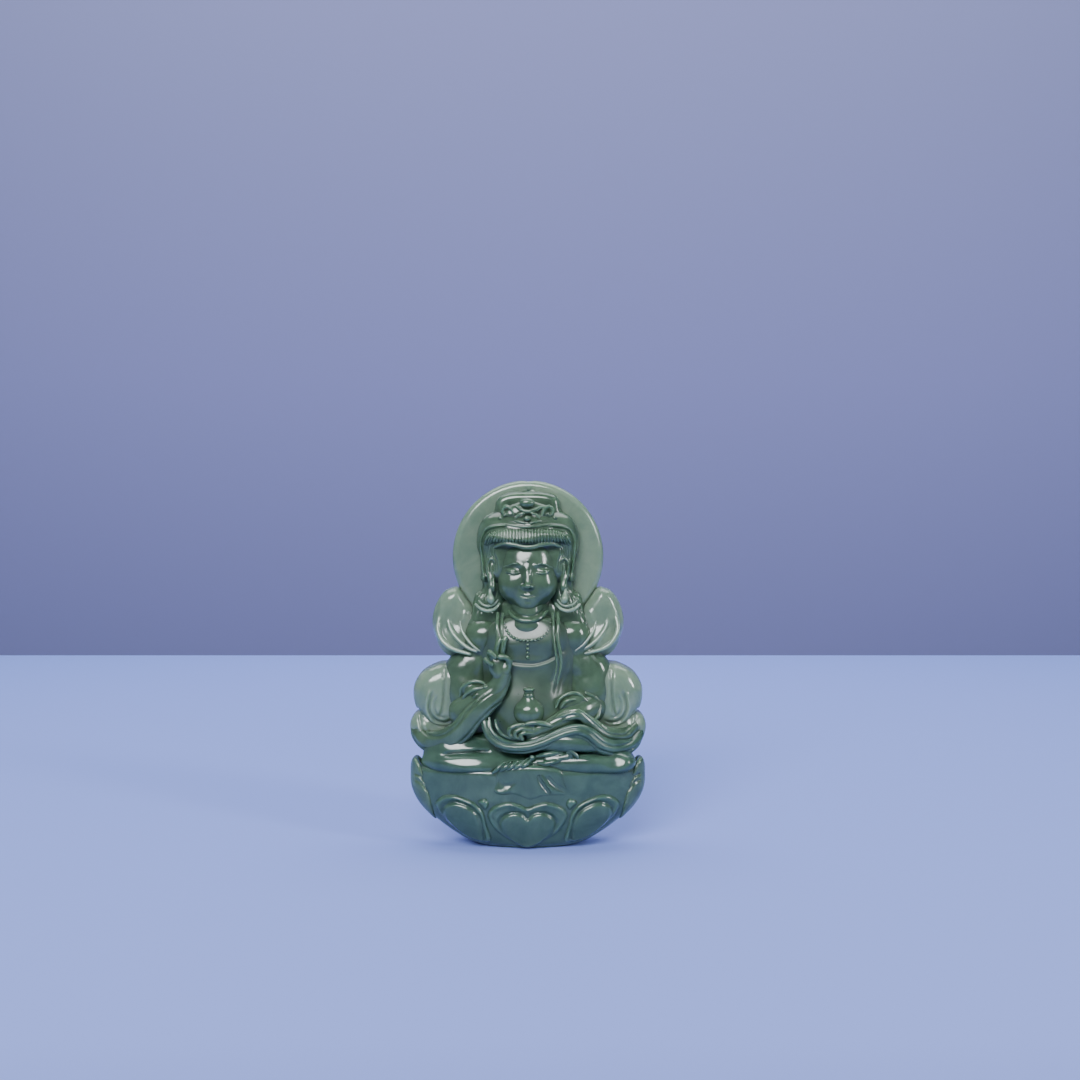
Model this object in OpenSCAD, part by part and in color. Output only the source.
// Carved jade figurine: a seated figure on a lotus throne, in front of a round halo.
// The real thing is one stone, so the nodes are its carved elements. Each is a closed solid
// that meets its neighbours face to face, and none of them moves.
// Frame: millimetres, +Z up, the carved front faces -Y, +X is on the viewer's right.
// Origin: centre of the flat foot. "Right" and "left" are the figure's own sides.

/* [Stone] */
// Height from the foot to the top of the halo
figure_h = 60; // [56:0.5:64]
// Width across the lower scarf folds
figure_w = 38.8; // [37:0.2:41]
// Depth across the lotus petals, front to back
figure_d = 12.4; // [11.8:0.1:13.4]

/* [Halo] */
// Diameter of the round halo
halo_d = 25.2; // [24:0.2:27]
// Thickness of the halo
halo_t = 3; // [2.6:0.1:3.2]
// Diameter of the drilled cord hole
hole_d = 1.8; // [1.4:0.1:2]
// Depth of the cross hole's axis below the top of the halo
hole_drop = 3; // [2.6:0.1:4]

/* [Lotus throne] */
// Width of the flat foot
foot_w = 17; // [14:0.5:18]
// Front to back size of the flat foot
foot_d = 7; // [5:0.5:7.5]
// Thickness of the flat foot
foot_h = 0.8; // [0.6:0.1:1]
// Thickness of the petals on the bowl
petal_t = 0.8; // [0.5:0.05:1]

/* [Ornaments] */
// Diameter of a necklace bead
bead_d = 0.7; // [0.5:0.02:0.8]
// Number of beads in the necklace's curve
bead_count = 17; // [9:2:21]
// Number of strands in the fringe
strand_count = 19; // [9:2:23]

/* [Quality] */
// Facets round a large form
form_fn = 14; // [12:2:18]
// Facets round a small ornament
trim_fn = 8; // [6:2:10]

/* [Hidden] */

halo_r = halo_d / 2;
halo_z = figure_h - halo_r;
back_y = 4.4;
halo_front = back_y - halo_t;
halo_mid = back_y - halo_t / 2;
halo_bottom = 36;
hole_z = figure_h - hole_drop;
seat_z = 11.6;
petal_top = 14.4;
front_petal_top = 8.2;
flank_petal_top = 9;
flank_edge = 14.8;
flank_x = 10.65;
flank_petal_w = 8;
flank_petal_z = 1.2;
front_petal_w = 12.8;
front_petal_z = 0.2;
cup_fn = 40;
cup_power = 2;
rim_z = 11;
belly_z = 8;
halo_edge = 1;
beyond = 30;
half_w = figure_w / 2;
half_d = figure_d / 2;
right = -1;
left = 1;
jade = "#5b7a66";
thin_jade = "#7d9a88";
deep_jade = "#3f5d50";

// ---------------------------------------------------------------- shared forms

// An egg-shaped form with centre c and half sizes r.
module egg(c, r, fn = form_fn)
    hull()
        translate(c)
            scale(r)
                sphere(r = 1, $fn = fn);

// A limb through the points pts, with radius rs at each, its depth changed by the factor flat.
module limb(pts, rs, flat = 1, fn = form_fn)
    for (i = [0:len(pts) - 2])
        hull() {
            egg(pts[i], [rs[i], rs[i] * flat, rs[i]], fn);
            egg(pts[i + 1], [rs[i + 1], rs[i + 1] * flat, rs[i + 1]], fn);
        }

// The space that belongs to the halo and to the air behind the flat back.
module behind_figure() {
    translate([-beyond, back_y, -beyond])
        cube([2 * beyond, beyond, 2 * beyond + figure_h]);
    intersection() {
        translate([0, halo_front, halo_z])
            rotate([-90, 0, 0])
                cylinder(r = halo_r, h = halo_t + 1, $fn = 72);
        translate([-half_w, 0, halo_bottom])
            cube([figure_w, beyond, figure_h]);
    }
}

// ---------------------------------------------------------------- lotus throne

function rise(z, top, power) = 1 - (1 - min(1, z / top)) ^ power;
function cup_half_w(z) = foot_w / 2 + (half_w - 0.4 - foot_w / 2) * rise(z, rim_z, cup_power);
function cup_half_d(z) = foot_d / 2 + (half_d - foot_d / 2) * rise(z, belly_z, cup_power);

module ellipse_plate(a, b, h, fn)
    linear_extrude(h)
        polygon([for (i = [0:fn - 1]) [a * cos(360 * i / fn), b * sin(360 * i / fn)]]);

function cup_point(z, inset, turn) =
    [(cup_half_w(z) - inset) * cos(turn), (cup_half_d(z) - inset) * sin(turn), z];
function cup_ring(z, inset) = [for (i = [0:cup_fn - 1]) cup_point(z, inset, 360 * i / cup_fn)];

// The cup's outer form up to the height top, held in by the distance inset.
module cup(top, inset) {
    levels = [foot_h, 2, 3.8, 6, 8.6, rim_z, top];
    last = len(levels) - 1;
    polyhedron(
        points = [for (z = levels) each cup_ring(z, inset)],
        faces = concat(
            [[for (i = [0:cup_fn - 1]) i]],
            [[for (i = [cup_fn - 1:-1:0]) last * cup_fn + i]],
            [for (k = [0:last - 1], i = [0:cup_fn - 1])
                [for (p = [[0, 0], [1, 0], [1, 1], [0, 1]])
                    (k + p[0]) * cup_fn + (i + p[1]) % cup_fn]]));
}

module bowl() cup(seat_z, petal_t);

// A heart-topped petal outline, seen from the front, from its point up to its two lobes.
module petal_outline(x, w, z0, z1) {
    tall = z1 - z0;
    for (side = [-1, 1]) {
        disc = [[0, 0.04, 0.02], [0.2, 0.22, 0.08], [0.34, 0.5, 0.16], [0.27, 0.76, 0.23], [0.12, 0.6, 0.2]];
        for (i = [0:len(disc) - 1])
            hull()
                for (d = [disc[i], disc[(i + 1) % len(disc)]])
                    translate([x + side * d[0] * w, z0 + d[1] * tall])
                        circle(r = d[2] * w, $fn = 12);
        hull()
            for (d = disc)
                translate([x + side * d[0] * w, z0 + d[1] * tall])
                    circle(r = d[2] * w * 0.5, $fn = 8);
    }
}

// The part of the petal layer within an outline, at the front (dir -1) or the back (dir 1).
module petal(dir, x, w, z0, z1)
    intersection() {
        difference() {
            cup(petal_top, 0);
            cup(petal_top + 1, petal_t);
        }
        translate([0, dir < 0 ? 0 : beyond, 0])
            rotate([90, 0, 0])
                linear_extrude(beyond)
                    petal_outline(x, w, z0, z1);
    }

// A side petal wraps round the end of the cup and stands above the seat.
module side_petal_blank(side)
    intersection() {
        difference() {
            cup(petal_top, 0);
            cup(seat_z, petal_t);
            cup(petal_top + 1, petal_t * 2);
        }
        hull() {
            egg([side * 18.2, 0, 11.6], [2.4, 5.6, 2.8]);
            egg([side * 16.8, 0, 5.5], [1.6, 5, 3.4]);
        }
        translate([side > 0 ? flank_edge : -flank_edge - beyond, -beyond, 0])
            cube([beyond, 2 * beyond, beyond]);
    }

module flank_blank(dir, side) petal(dir, side * flank_x, flank_petal_w, flank_petal_z, flank_petal_top);
module centre_blank(dir) petal(dir, 0, front_petal_w, front_petal_z, front_petal_top);

module foot()
    color(deep_jade)
        ellipse_plate(foot_w / 2, foot_d / 2, foot_h, 60);

module throne_bowl() color(deep_jade) bowl();

module petal_front() color(deep_jade) centre_blank(-1);

module petals_flanking()
    color(deep_jade)
        for (side = [-1, 1]) flank_blank(-1, side);

module petals_side()
    color(jade)
        difference() {
            for (side = [-1, 1]) side_petal_blank(side);
            for (side = [-1, 1]) raw_leg(side);
        }

module petals_rear()
    color(deep_jade) {
        centre_blank(1);
        for (side = [-1, 1]) flank_blank(1, side);
    }

// ---------------------------------------------------------------- legs and robe

// s is the side: right is -1 and left is 1.
module raw_leg(s) {
    hull() {
        egg([s * 12.3, -0.6, 14.8], [5.4, 5.2, 3.8]);
        egg([s * 7, -1.2, 14.8], [4.6, 4.6, 3.4]);
    }
    hull() {
        egg([s * 7, -1.2, 14.8], [4.6, 4.6, 3.4]);
        egg([s * 2.6, -1.6, 14], [3, 3.8, 2.4]);
    }
}

module raw_skirt()
    hull() {
        egg([-3, -4, 13.4], [2.6, 1.8, 1.6]);
        egg([4.6, -4, 13.4], [2.6, 1.8, 1.6]);
        egg([-3.6, -4.6, 10.2], [2, 1.6, 1.2]);
        egg([4.6, -4.6, 9.8], [2.2, 1.6, 1.2]);
    }

module leg(s)
    difference() {
        raw_leg(s);
        bowl();
        behind_figure();
        translate([s == right ? 0 : -beyond, -beyond, 0])
            cube([beyond, 2 * beyond, beyond]);
    }

module right_leg() color(deep_jade) leg(right);
module left_leg() color(deep_jade) leg(left);

module robe_skirt()
    color(deep_jade)
        difference() {
            raw_skirt();
            bowl();
            translate([-half_w, -beyond, 0])
                cube([figure_w, 2 * beyond, front_petal_top]);
            for (s = [right, left]) raw_leg(s);
        }

module raw_pleats() {
    for (i = [0:4])
        limb([[-5.2 + i * 1.15, -4.9, 12.5], [-3.8 + i * 1.15, -4.9, 15]], [0.5, 0.45], 1.4, trim_fn);
    egg([0.7, -5.2, 15.2], [0.6, 0.7, 0.6], trim_fn);
    limb([[1.9, -4.9, 14.2], [4.9, -4.9, 14.9]], [0.8, 0.6], 1, trim_fn);
    limb([[6, -4.7, 16.6], [7.6, -4.8, 15], [6, -4.7, 14.3]], [0.6, 0.7, 0.5], 1, trim_fn);
}

module hem_pleats()
    color(jade)
        difference() {
            raw_pleats();
            raw_skirt();
            for (s = [right, left]) raw_leg(s);
        }

// ---------------------------------------------------------------- body and arms

module raw_torso() {
    hull() {
        egg([0, 0.8, 31.2], [7.6, 4.4, 5]);
        egg([0, 0.8, 22], [8, 4.8, 6]);
    }
    for (s = [right, left])
        hull() {
            egg([s * 6.4, 1.6, 33.6], [3, 2.9, 2.8]);
            egg([0, 1, 31], [6, 4.2, 4]);
        }
    hull() {
        egg([-11, 2.4, 20], [4, 2.6, 5]);
        egg([11, 2.4, 20], [4, 2.6, 5]);
    }
}

module raw_upper_arm(s)
    limb([[s * 8.3, 1, 32.8], [s * 10.2, 0.8, 28.4], [s * 10.6, 0.6, 23.6]], [3.5, 3.1, 3]);

module raw_forearm(s) {
    if (s == right)
        limb([[-10, -1.2, 21.6], [-6.6, -2.8, 24.6], [-4.3, -3.6, 27.2]], [3, 2.3, 1.3]);
    else
        limb([[10.4, -1.4, 22.4], [7.4, -2.8, 21.6], [4.2, -3.8, 20.6]], [3, 2.2, 1.4]);
}

module torso()
    color(jade)
        difference() {
            raw_torso();
            behind_figure();
            bowl();
            for (s = [right, left]) raw_leg(s);
        }

module neck()
    color(jade)
        difference() {
            hull() {
                egg([0, 0, 39], [2.7, 2.7, 1.6]);
                egg([0, 0, 35.6], [3.6, 2.6, 1]);
            }
            raw_torso();
            raw_head();
            behind_figure();
        }

module upper_arm(s)
    difference() {
        raw_upper_arm(s);
        raw_torso();
        raw_leg(s);
        behind_figure();
    }

module forearm(s)
    difference() {
        raw_forearm(s);
        raw_upper_arm(s);
        raw_torso();
        raw_leg(s);
    }

module right_upper_arm() color(jade) upper_arm(right);
module left_upper_arm() color(jade) upper_arm(left);
module right_forearm() color(jade) forearm(right);
module left_forearm() color(jade) forearm(left);

// The long sleeve that hangs from each forearm out to the side folds.
module raw_sleeve(s) {
    if (s == right) {
        limb([[-4.6, -3.9, 26], [-7.4, -3.7, 23.4], [-9.8, -3.2, 20.4], [-12.6, -2.2, 18], [-16, 0.4, 17]],
            [1.4, 1.8, 1.9, 2, 1.9]);
        limb([[-6.4, -4.2, 26], [-8.4, -3.9, 26.6], [-10.8, -3.2, 25.2]], [0.9, 0.9, 0.8], 1, trim_fn);
    } else {
        limb([[7.6, -3.6, 24.2], [10.4, -3, 22], [12.4, -2.4, 19.6], [14.2, -1.4, 18.2], [16, 0.4, 17.6]],
            [1.2, 1.7, 1.9, 2, 1.9]);
        limb([[5, -4, 23.4], [6, -4, 25], [8.2, -3.6, 25.2]], [0.7, 0.8, 0.8], 1, trim_fn);
    }
}

module sleeve(s)
    difference() {
        raw_sleeve(s);
        raw_forearm(s);
        raw_upper_arm(s);
        raw_torso();
        raw_leg(s);
    }

module right_sleeve() color(jade) sleeve(right);
module left_sleeve() color(jade) sleeve(left);

// The right hand is raised with two fingers up, and the left lies open in the lap.
module raw_right_hand() {
    egg([-4.4, -4, 29.6], [1.9, 1, 1.9], 12);
    for (i = [0:3])
        limb([[-5.4 + i * 0.75, -4.3, 30.6], [-6 + i * 0.95, -4.8, 32.4 - 0.5 * (i % 2)],
            [-5.3 + i * 0.7, -5, 33.6 - 0.9 * (i % 2)]], [0.5, 0.45, 0.4], 1, trim_fn);
    limb([[-3.2, -4.4, 29.4], [-2.8, -4.9, 31.2], [-3.6, -5.1, 32.2]], [0.6, 0.5, 0.42], 1, trim_fn);
}

module right_hand()
    color(jade)
        difference() {
            raw_right_hand();
            raw_forearm(right);
            raw_sleeve(right);
            raw_torso();
        }

module raw_left_hand() {
    hull() {
        egg([2.6, -4.2, 20.2], [1.8, 1.1, 1.3], 12);
        egg([0.4, -4.6, 19.4], [1.6, 1, 1.2], 12);
    }
    for (i = [0:3])
        limb([[0.2, -4.7, 20.2 - i * 0.62], [-1.7, -5, 20.1 - i * 0.62], [-3, -4.8, 20.5 - i * 0.5]],
            [0.46, 0.42, 0.36], 1, trim_fn);
    limb([[1.8, -5, 20.8], [0.6, -5.4, 21], [-0.4, -5.3, 20.7]], [0.55, 0.48, 0.4], 1, trim_fn);
}

module left_hand()
    color(jade)
        difference() {
            raw_left_hand();
            raw_forearm(left);
            raw_torso();
            for (s = [right, left]) raw_leg(s);
        }

// The sash winds over the lap from the right forearm to the left side fold.
module raw_sash()
    limb([[-6.2, -3.9, 21.2], [-5.2, -4.5, 18.8], [-2.8, -5, 17.3], [0.6, -5.1, 17],
        [4.6, -5, 18], [8, -4.8, 19.4], [10.4, -4.6, 19], [12.4, -4.4, 17.8], [15.6, -2.6, 16.8]],
        [0.9, 1, 1.05, 1.1, 1.1, 1.1, 1.1, 1, 0.9], 1, 10);

module lap_sash()
    color(deep_jade)
        difference() {
            raw_sash();
            raw_left_hand();
            raw_torso();
            for (s = [right, left]) {
                raw_leg(s);
                raw_forearm(s);
                raw_sleeve(s);
            }
        }

// A round water vase, turned about its upright axis.
module vase_blank()
    translate([0.2, -4, 0])
        rotate_extrude($fn = 32)
            polygon(concat(
                [[0, 20.2]],
                [for (a = [-70:20:50]) [1.95 * cos(a), 22.1 + 1.95 * sin(a)]],
                [[0.7, 24], [0.62, 25.2], [1, 25.9], [1, 26.3], [0, 26.3]]));

module water_vase()
    color(jade)
        difference() {
            vase_blank();
            raw_torso();
            raw_left_hand();
        }

// ---------------------------------------------------------------- collar and beads

module raw_lapel(s)
    limb([[s * 4, -2.2, 37.4], [s * 4.3, -3.1, 35], [s * 4.3, -3.3, 32.6], [s * 3.4, -3.7, 29.4],
        [s * 2.4, -4.1, 26.4]], [0.6, 0.6, 0.6, 0.55, 0.5], 1, trim_fn);

module lapel(s)
    difference() {
        raw_lapel(s);
        raw_torso();
        behind_figure();
        raw_head();
        vase_blank();
        if (s == right) {
            raw_right_hand();
            raw_forearm(right);
        }
    }

module right_lapel() color(jade) lapel(right);
module left_lapel() color(jade) lapel(left);

module bead(c) egg(c, [1, 1, 1] * bead_d / 2, trim_fn);

module raw_beads()
    for (i = [0:bead_count - 1]) {
        turn = -1 + 2 * i / (bead_count - 1);
        bead([3.5 * sin(80 * turn), -3.35 + 0.9 * abs(turn) ^ 2, 33.9 + 2.4 * abs(turn) ^ 2.4]);
    }

module necklace_beads()
    color(thin_jade)
        difference() {
            raw_beads();
            raw_torso();
            for (s = [right, left]) raw_lapel(s);
        }

module necklace_drop()
    color(thin_jade)
        difference() {
            for (i = [0:3]) bead([0, -3.66 - 0.07 * i, 33 - i * 0.72]);
            raw_torso();
            raw_beads();
            for (s = [right, left]) raw_lapel(s);
        }

// ---------------------------------------------------------------- scarf

module raw_shoulder_scarf(s)
    hull() {
        egg([s * 13.4, 2.4, 36], [2.6, 1.9, 4.6]);
        egg([s * 12, 2.7, 39.7], [1.9, 1.6, 2]);
        egg([s * 9.4, 2, 32.6], [1.8, 2, 1.7]);
        egg([s * 9.2, 2.8, 37], [1.8, 1.5, 3]);
    }

module raw_upper_fold(s)
    hull() {
        egg([s * 15.9, 2.2, 25.4], [3.1, 2.1, 3.9]);
        egg([s * 12.4, 2, 24.4], [2, 2.3, 3.4]);
    }

module raw_lower_fold(s)
    hull() {
        egg([s * (half_w - 2.8), 2, 18.2], [2.8, 2.3, 3.2]);
        egg([s * 13, 2, 17.4], [2, 2.4, 2.6]);
    }

module shoulder_scarf(s)
    difference() {
        raw_shoulder_scarf(s);
        raw_upper_arm(s);
        raw_torso();
        behind_figure();
        raw_hair_lock(s);
    }

module upper_fold(s)
    difference() {
        raw_upper_fold(s);
        raw_upper_arm(s);
        raw_torso();
        raw_sleeve(s);
        raw_forearm(s);
        behind_figure();
    }

module lower_fold(s)
    difference() {
        raw_lower_fold(s);
        raw_upper_fold(s);
        raw_torso();
        raw_leg(s);
        raw_sleeve(s);
        raw_sash();
        behind_figure();
    }

module right_shoulder_scarf() color(thin_jade) shoulder_scarf(right);
module left_shoulder_scarf() color(thin_jade) shoulder_scarf(left);
module right_upper_fold() color(thin_jade) upper_fold(right);
module left_upper_fold() color(thin_jade) upper_fold(left);
module right_lower_fold() color(thin_jade) lower_fold(right);
module left_lower_fold() color(thin_jade) lower_fold(left);

// ---------------------------------------------------------------- head

module raw_head() {
    hull() {
        egg([0, 0.2, 45.2], [5, 4.3, 4.6], 18);
        egg([0, -1.4, 40.4], [2.6, 2.5, 1.9], 12);
        for (s = [right, left])
            egg([s * 2.4, -1, 42.6], [2.6, 2.8, 2.4], 12);
    }
    hull() {
        egg([0, -4, 45.4], [0.5, 0.5, 0.6], trim_fn);
        egg([0, -4.4, 43.2], [0.8, 0.75, 0.5], trim_fn);
    }
}

module raw_ear(s)
    hull() {
        egg([s * 5.7, -0.9, 46], [0.9, 1.2, 1.5], 10);
        egg([s * 5.9, -1.5, 42.6], [0.7, 0.9, 1.2], 10);
    }

module raw_earring(s) {
    egg([s * 6, -2, 40.7], [0.75, 0.7, 1.1], trim_fn);
    limb([[s * 4.9, -1.8, 39.6], [s * 6.2, -2.2, 39], [s * 7.4, -1.8, 39.8]], [0.4, 0.45, 0.4], 1, trim_fn);
}

module raw_cap()
    hull() {
        egg([0, 0.4, 50.6], [6.6, 3.1, 4.4], 18);
        for (s = [right, left]) {
            egg([s * 5.9, 0.6, 49], [2.5, 2.4, 3]);
            egg([s * 5, 0.8, 51.6], [2.4, 2, 2]);
        }
    }

module raw_hair_lock(s)
    limb([[s * 6.8, 0.6, 47], [s * 6.6, 0.4, 43.6], [s * 7.4, 0.2, 40.6], [s * 8, 0, 38.4]],
        [1.3, 1.3, 1.6, 1.7]);

module raw_topknot()
    hull() {
        egg([0, 0.4, 55.2], [4.6, 2.2, 2.5]);
        egg([0, 0.2, 52.6], [5.2, 2.8, 1.6]);
    }

module raw_fringe()
    for (i = [0:strand_count - 1]) {
        turn = -1 + 2 * i / (strand_count - 1);
        limb([[5.8 * turn, -2.3 + 1.2 * turn ^ 2, 51.9 - 1.2 * turn ^ 4],
            [6 * turn, -3.5 + 1.5 * turn ^ 2, 49.9 - 1.6 * turn ^ 4]], [0.36, 0.4], 1, 6);
    }

module raw_band()
    for (s = [right, left])
        limb([[0, -3, 52.6], [s * 2.6, -2.9, 52.7], [s * 4.4, -2.3, 53]], [0.55, 0.5, 0.4], 1, trim_fn);

module head()
    color(jade)
        difference() {
            raw_head();
            behind_figure();
            raw_cap();
        }

module ear(s)
    difference() {
        raw_ear(s);
        raw_head();
        raw_cap();
        raw_hair_lock(s);
        behind_figure();
    }

module earring(s)
    difference() {
        raw_earring(s);
        raw_ear(s);
        raw_head();
        raw_hair_lock(s);
        raw_torso();
        behind_figure();
    }

module hair_lock(s)
    difference() {
        raw_hair_lock(s);
        raw_cap();
        raw_head();
        raw_torso();
        raw_upper_arm(s);
        behind_figure();
    }

module right_ear() color(jade) ear(right);
module left_ear() color(jade) ear(left);
module right_earring() color(thin_jade) earring(right);
module left_earring() color(thin_jade) earring(left);
module right_hair_lock() color(jade) hair_lock(right);
module left_hair_lock() color(jade) hair_lock(left);

module hair_cap()
    color(jade)
        difference() {
            raw_cap();
            behind_figure();
        }

module hair_fringe()
    color(thin_jade)
        difference() {
            raw_fringe();
            raw_cap();
            raw_head();
        }

module topknot()
    color(jade)
        difference() {
            raw_topknot();
            raw_cap();
            behind_figure();
        }

module crown_band()
    color(thin_jade)
        difference() {
            raw_band();
            raw_cap();
            raw_topknot();
            raw_fringe();
        }

module crown_jewels()
    color(thin_jade)
        difference() {
            union() {
                egg([0, -1.9, 55.7], [1.1, 0.9, 1], 10);
                egg([0, -3, 53.6], [0.9, 0.8, 0.7], 10);
                for (s = [right, left])
                    limb([[s * 1.6, -2.3, 53.8], [s * 3, -2.1, 55.4], [s * 3.9, -1.6, 54.4]],
                        [0.45, 0.45, 0.4], 1, trim_fn);
            }
            raw_band();
            raw_cap();
            raw_topknot();
            raw_fringe();
        }

// ---------------------------------------------------------------- halo

// A plate with a rounded rim. The cord hole comes in at the top and out at the back.
module halo()
    color(thin_jade)
        difference() {
            translate([0, halo_mid, halo_z])
                rotate([90, 0, 0])
                    rotate_extrude($fn = 120) {
                        translate([0, -halo_t / 2])
                            square([halo_r - halo_edge, halo_t]);
                        translate([0, halo_edge - halo_t / 2])
                            square([halo_r, halo_t - 2 * halo_edge]);
                        for (side = [-1, 1])
                            translate([halo_r - halo_edge, side * (halo_t / 2 - halo_edge)])
                                circle(r = halo_edge, $fn = 32);
                    }
            translate([-half_w, 0, 0])
                cube([figure_w, beyond, halo_bottom]);
            translate([0, halo_mid, hole_z])
                cylinder(d = hole_d, h = hole_drop + 1, $fn = 32);
            translate([0, halo_mid, hole_z])
                rotate([-90, 0, 0])
                    cylinder(d = hole_d, h = halo_t, $fn = 32);
            translate([0, halo_mid, hole_z])
                sphere(d = hole_d, $fn = 32);
        }

foot();
throne_bowl();
petal_front();
petals_flanking();
petals_side();
petals_rear();
robe_skirt();
hem_pleats();
right_leg();
left_leg();
torso();
neck();
right_upper_arm();
left_upper_arm();
right_forearm();
left_forearm();
right_sleeve();
left_sleeve();
right_hand();
left_hand();
lap_sash();
water_vase();
right_lapel();
left_lapel();
necklace_beads();
necklace_drop();
right_shoulder_scarf();
left_shoulder_scarf();
right_upper_fold();
left_upper_fold();
right_lower_fold();
left_lower_fold();
head();
right_ear();
left_ear();
right_earring();
left_earring();
hair_cap();
hair_fringe();
topknot();
right_hair_lock();
left_hair_lock();
crown_band();
crown_jewels();
halo();
